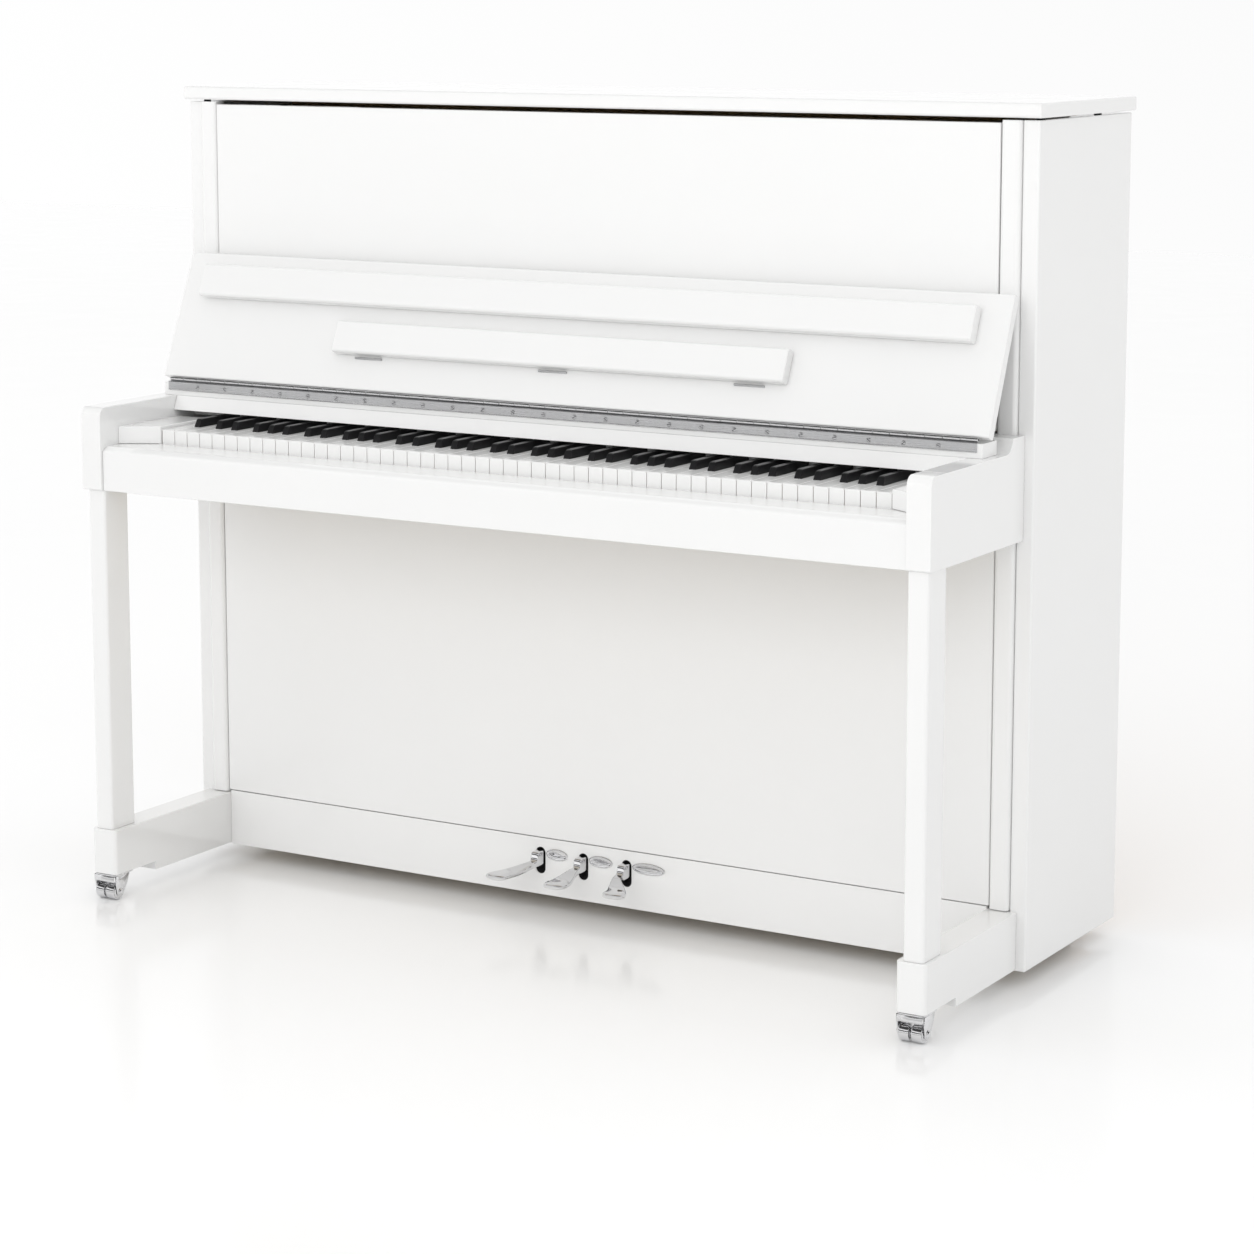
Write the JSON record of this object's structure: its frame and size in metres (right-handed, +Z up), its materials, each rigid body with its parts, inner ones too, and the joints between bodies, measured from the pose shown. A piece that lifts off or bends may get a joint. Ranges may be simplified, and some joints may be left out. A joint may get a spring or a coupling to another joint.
{
  "type": "upright piano",
  "caption": "Polished white upright piano with an open full-width fallboard, flip-down music ledge, hinged lid, sprung keys and pedals, on casters.",
  "frame": {"origin": "on the floor, under the middle of the piano's bounding box", "axes": "+X along the keyboard from bass to treble, +Y from the player to the back of the case, +Z up"},
  "size_m": [1.44, 0.62, 1.225],
  "materials": {
    "lacquer": "polished white polyester lacquer on wood",
    "bare_wood": "bare spruce and beech, lightly sealed",
    "dark_wood": "oiled hardwood rails",
    "spruce": "clear-varnished spruce",
    "chrome": "polished chrome plate",
    "steel": "brushed nickel-plated steel",
    "gold_iron": "cast iron sprayed bronze gold",
    "string_wire": "steel wire, copper-wound in the bass",
    "key_white": "moulded white key covering over wood",
    "key_black": "moulded black key cap, satin",
    "felt": "pressed wool felt on wood",
    "caster_wheel": "turned and plated steel wheels"
  },
  "bodies": {
    "case": {"side_panel_left": "lacquer", "side_panel_right": "lacquer", "pilasters": "lacquer", "bottom_board": "bare_wood", "key_bed": "bare_wood", "arm_left": "lacquer", "arm_right": "lacquer", "legs": "lacquer", "toe_blocks": "lacquer", "plinth": "lacquer", "key_slip": "lacquer", "key_blocks": "lacquer", "fallboard_rail": "lacquer", "name_board": "lacquer", "upper_panel": "lacquer", "lower_panel": "lacquer", "back_frame": "bare_wood", "soundboard": "spruce", "iron_frame": "gold_iron", "strings": "string_wire", "tuning_pins": "steel", "action_frame": "dark_wood", "hammers": "felt", "dampers": "felt", "key_frame": "bare_wood", "caster_forks": "chrome", "pedal_plates": "chrome", "fallboard_hinge": "steel", "lid_hinge": "steel"},
    "lid": {"top_lid": "lacquer"},
    "fallboard": {"fallboard": "lacquer", "fallboard_lip": "lacquer", "ledge_hinges": "chrome"},
    "ledge": {"music_ledge": "lacquer"},
    "white_keys_bass": {"white_keys_bass": "key_white"},
    "black_keys_bass": {"black_keys_bass": "key_black"},
    "white_keys_treble": {"white_keys_treble": "key_white"},
    "black_keys_treble": {"black_keys_treble": "key_black"},
    "key_c": {"key_c": "key_white"},
    "key_c_sharp": {"key_c_sharp": "key_black"},
    "key_d": {"key_d": "key_white"},
    "key_d_sharp": {"key_d_sharp": "key_black"},
    "key_e": {"key_e": "key_white"},
    "key_f": {"key_f": "key_white"},
    "key_f_sharp": {"key_f_sharp": "key_black"},
    "key_g": {"key_g": "key_white"},
    "key_g_sharp": {"key_g_sharp": "key_black"},
    "key_a": {"key_a": "key_white"},
    "key_a_sharp": {"key_a_sharp": "key_black"},
    "key_b": {"key_b": "key_white"},
    "pedal_left": {"pedal_left": "chrome"},
    "trap_rod_left": {"trap_rod_left": "dark_wood"},
    "pedal_middle": {"pedal_middle": "chrome"},
    "trap_rod_middle": {"trap_rod_middle": "dark_wood"},
    "pedal_right": {"pedal_right": "chrome"},
    "trap_rod_right": {"trap_rod_right": "dark_wood"},
    "wheels_front_left": {"wheels_front_left": "caster_wheel"},
    "wheels_front_right": {"wheels_front_right": "caster_wheel"},
    "wheels_rear_left": {"wheels_rear_left": "caster_wheel"},
    "wheels_rear_right": {"wheels_rear_right": "caster_wheel"}
  },
  "joints": [
    {"name": "lid_hinge", "type": "hinge", "parent": "case", "child": "lid", "pos_m": [0, 0.3074, 1.2012], "axis": [-1, 0, 0], "range_deg": [0, 100]},
    {"name": "fallboard_hinge", "type": "hinge", "parent": "case", "child": "fallboard", "pos_m": [0, -0.121, 0.7815], "axis": [1, 0, 0], "range_deg": [0, 118.5]},
    {"name": "ledge_hinge", "type": "hinge", "parent": "fallboard", "child": "ledge", "pos_m": [0, -0.10362, 0.83115], "axis": [-1, 0, 0], "range_deg": [-90, 0]},
    {"name": "press_white_keys_bass", "type": "hinge", "parent": "case", "child": "white_keys_bass", "pos_m": [0, -0.02, 0.6943], "axis": [1, 0, 0], "range_deg": [0, 2.65], "stiffness_Nm_per_rad": 36.8, "springref_deg": -4.58},
    {"name": "press_black_keys_bass", "type": "hinge", "parent": "case", "child": "black_keys_bass", "pos_m": [0, -0.02, 0.6943], "axis": [1, 0, 0], "range_deg": [0, 2.65], "stiffness_Nm_per_rad": 25.6, "springref_deg": -4.58},
    {"name": "press_white_keys_treble", "type": "hinge", "parent": "case", "child": "white_keys_treble", "pos_m": [0, -0.02, 0.6943], "axis": [1, 0, 0], "range_deg": [0, 2.65], "stiffness_Nm_per_rad": 35.2, "springref_deg": -4.58},
    {"name": "press_black_keys_treble", "type": "hinge", "parent": "case", "child": "black_keys_treble", "pos_m": [0, -0.02, 0.6943], "axis": [1, 0, 0], "range_deg": [0, 2.65], "stiffness_Nm_per_rad": 24, "springref_deg": -4.58},
    {"name": "press_key_c", "type": "hinge", "parent": "case", "child": "key_c", "pos_m": [0, -0.02, 0.6943], "axis": [1, 0, 0], "range_deg": [0, 2.65], "stiffness_Nm_per_rad": 1.6, "springref_deg": -4.58},
    {"name": "press_key_c_sharp", "type": "hinge", "parent": "case", "child": "key_c_sharp", "pos_m": [0, -0.02, 0.6943], "axis": [1, 0, 0], "range_deg": [0, 2.65], "stiffness_Nm_per_rad": 1.6, "springref_deg": -4.58},
    {"name": "press_key_d", "type": "hinge", "parent": "case", "child": "key_d", "pos_m": [0, -0.02, 0.6943], "axis": [1, 0, 0], "range_deg": [0, 2.65], "stiffness_Nm_per_rad": 1.6, "springref_deg": -4.58},
    {"name": "press_key_d_sharp", "type": "hinge", "parent": "case", "child": "key_d_sharp", "pos_m": [0, -0.02, 0.6943], "axis": [1, 0, 0], "range_deg": [0, 2.65], "stiffness_Nm_per_rad": 1.6, "springref_deg": -4.58},
    {"name": "press_key_e", "type": "hinge", "parent": "case", "child": "key_e", "pos_m": [0, -0.02, 0.6943], "axis": [1, 0, 0], "range_deg": [0, 2.65], "stiffness_Nm_per_rad": 1.6, "springref_deg": -4.58},
    {"name": "press_key_f", "type": "hinge", "parent": "case", "child": "key_f", "pos_m": [0, -0.02, 0.6943], "axis": [1, 0, 0], "range_deg": [0, 2.65], "stiffness_Nm_per_rad": 1.6, "springref_deg": -4.58},
    {"name": "press_key_f_sharp", "type": "hinge", "parent": "case", "child": "key_f_sharp", "pos_m": [0, -0.02, 0.6943], "axis": [1, 0, 0], "range_deg": [0, 2.65], "stiffness_Nm_per_rad": 1.6, "springref_deg": -4.58},
    {"name": "press_key_g", "type": "hinge", "parent": "case", "child": "key_g", "pos_m": [0, -0.02, 0.6943], "axis": [1, 0, 0], "range_deg": [0, 2.65], "stiffness_Nm_per_rad": 1.6, "springref_deg": -4.58},
    {"name": "press_key_g_sharp", "type": "hinge", "parent": "case", "child": "key_g_sharp", "pos_m": [0, -0.02, 0.6943], "axis": [1, 0, 0], "range_deg": [0, 2.65], "stiffness_Nm_per_rad": 1.6, "springref_deg": -4.58},
    {"name": "press_key_a", "type": "hinge", "parent": "case", "child": "key_a", "pos_m": [0, -0.02, 0.6943], "axis": [1, 0, 0], "range_deg": [0, 2.65], "stiffness_Nm_per_rad": 1.6, "springref_deg": -4.58},
    {"name": "press_key_a_sharp", "type": "hinge", "parent": "case", "child": "key_a_sharp", "pos_m": [0, -0.02, 0.6943], "axis": [1, 0, 0], "range_deg": [0, 2.65], "stiffness_Nm_per_rad": 1.6, "springref_deg": -4.58},
    {"name": "press_key_b", "type": "hinge", "parent": "case", "child": "key_b", "pos_m": [0, -0.02, 0.6943], "axis": [1, 0, 0], "range_deg": [0, 2.65], "stiffness_Nm_per_rad": 1.6, "springref_deg": -4.58},
    {"name": "press_pedal_left", "type": "hinge", "parent": "case", "child": "pedal_left", "pos_m": [-0.075, 0.06, 0.089], "axis": [1, 0, 0], "range_deg": [0, 6], "stiffness_Nm_per_rad": 60, "springref_deg": -3.44},
    {"name": "lift_trap_rod_left", "type": "slide", "parent": "case", "child": "trap_rod_left", "axis": [0, 0, 1], "range_m": [0, 0.011]},
    {"name": "press_pedal_middle", "type": "hinge", "parent": "case", "child": "pedal_middle", "pos_m": [0, 0.06, 0.089], "axis": [1, 0, 0], "range_deg": [0, 6], "stiffness_Nm_per_rad": 60, "springref_deg": -3.44},
    {"name": "lift_trap_rod_middle", "type": "slide", "parent": "case", "child": "trap_rod_middle", "axis": [0, 0, 1], "range_m": [0, 0.011]},
    {"name": "press_pedal_right", "type": "hinge", "parent": "case", "child": "pedal_right", "pos_m": [0.075, 0.06, 0.089], "axis": [1, 0, 0], "range_deg": [0, 6], "stiffness_Nm_per_rad": 60, "springref_deg": -3.44},
    {"name": "lift_trap_rod_right", "type": "slide", "parent": "case", "child": "trap_rod_right", "axis": [0, 0, 1], "range_m": [0, 0.011]},
    {"name": "roll_wheels_front_left", "type": "hinge", "parent": "case", "child": "wheels_front_left", "pos_m": [-0.679, -0.296, 0.013], "axis": [1, 0, 0], "continuous": true},
    {"name": "roll_wheels_front_right", "type": "hinge", "parent": "case", "child": "wheels_front_right", "pos_m": [0.679, -0.296, 0.013], "axis": [1, 0, 0], "continuous": true},
    {"name": "roll_wheels_rear_left", "type": "hinge", "parent": "case", "child": "wheels_rear_left", "pos_m": [-0.64, 0.262, 0.013], "axis": [1, 0, 0], "continuous": true},
    {"name": "roll_wheels_rear_right", "type": "hinge", "parent": "case", "child": "wheels_rear_right", "pos_m": [0.64, 0.262, 0.013], "axis": [1, 0, 0], "continuous": true}
  ],
  "couplings": [
    {"joint": "lift_trap_rod_left", "follows": "press_pedal_left", "m_per_rad": 0.095},
    {"joint": "lift_trap_rod_middle", "follows": "press_pedal_middle", "m_per_rad": 0.095},
    {"joint": "lift_trap_rod_right", "follows": "press_pedal_right", "m_per_rad": 0.095}
  ]
}
